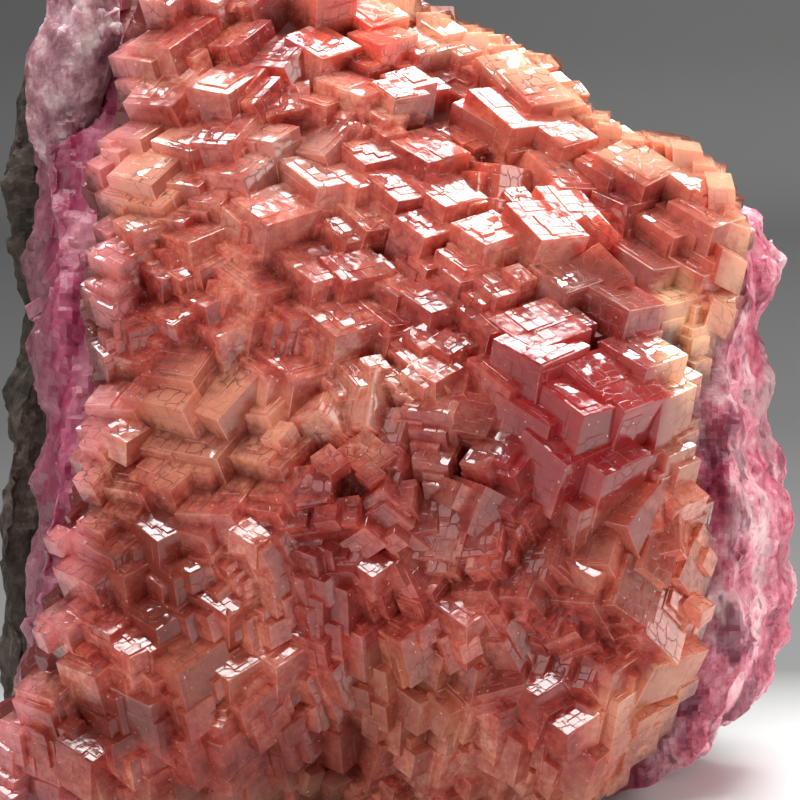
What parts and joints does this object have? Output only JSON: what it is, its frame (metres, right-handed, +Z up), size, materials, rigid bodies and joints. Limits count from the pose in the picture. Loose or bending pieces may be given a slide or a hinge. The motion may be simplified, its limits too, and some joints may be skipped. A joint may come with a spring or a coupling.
{
  "type": "cobaltoan calcite specimen",
  "caption": "Free-standing mineral specimen: a crust of salmon calcite rhombs on massive cobalt-pink calcite and grey-brown host rock",
  "frame": {"origin": "on the resting plane, under the middle of the specimen's box", "axes": "+Z up, -Y out of the crystal face towards the viewer, +X to the viewer's right"},
  "size_m": [0.0933, 0.0719, 0.0953],
  "materials": {
    "salmon_calcite": "translucent salmon-red calcite with bright flat cleavage faces, fine cracks and cream and raspberry zones",
    "pink_calcite": "massive cobalt-pink calcite, sugary and sparkling, with pale veins and dark magenta hollows",
    "lilac_calcite": "pale lilac, cloudy cleaved calcite with a frosty surface",
    "host_rock": "dull grey-brown broken rock with rusty stains and pale specks"
  },
  "bodies": {
    "root": {"crystal_crust": "salmon_calcite", "cobalt_calcite": "pink_calcite", "pale_calcite": "lilac_calcite", "host_rock": "host_rock"}
  },
  "joints": []
}
